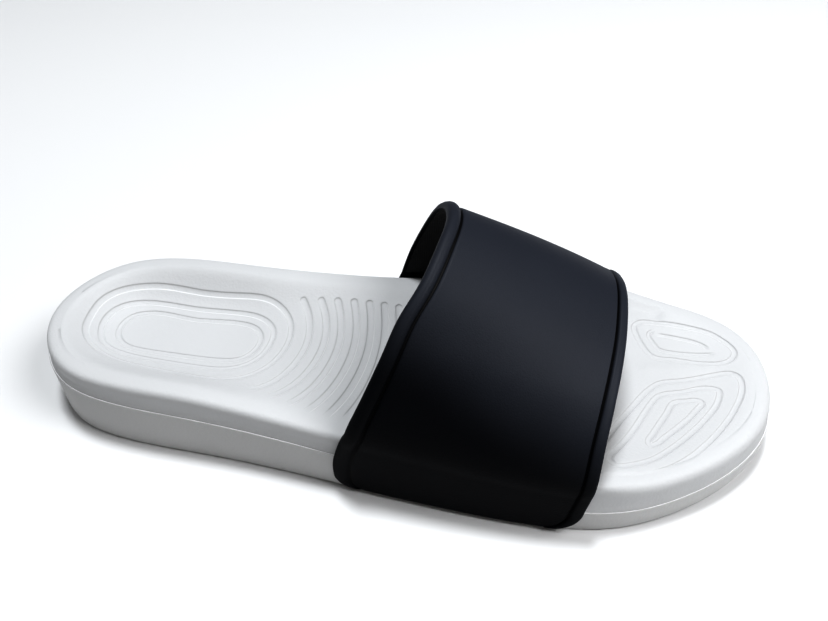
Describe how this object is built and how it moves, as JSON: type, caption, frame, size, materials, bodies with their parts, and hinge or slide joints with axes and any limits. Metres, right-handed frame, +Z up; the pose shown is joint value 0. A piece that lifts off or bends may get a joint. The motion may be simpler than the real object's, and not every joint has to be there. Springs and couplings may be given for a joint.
{
  "type": "sport slide sandal",
  "caption": "Sport slide sandal for the right foot: contoured foam footbed on a moulded outsole, under a wide arched strap with a beaded rear edge and a flat front rim.",
  "frame": {"origin": "on the floor, under the middle of the sandal's overall box", "axes": "+X from heel to toe, +Y to the big-toe side, +Z up"},
  "size_m": [0.2874, 0.1142, 0.0813],
  "materials": {
    "outsole": "matt off-white moulded foam rubber",
    "footbed": "matt off-white moulded foam, fine skin texture",
    "strap": "matt near-black synthetic with a very fine grain and a faint sheen"
  },
  "bodies": {
    "root": {"outsole": "outsole", "footbed": "footbed", "strap": "strap"}
  },
  "joints": []
}
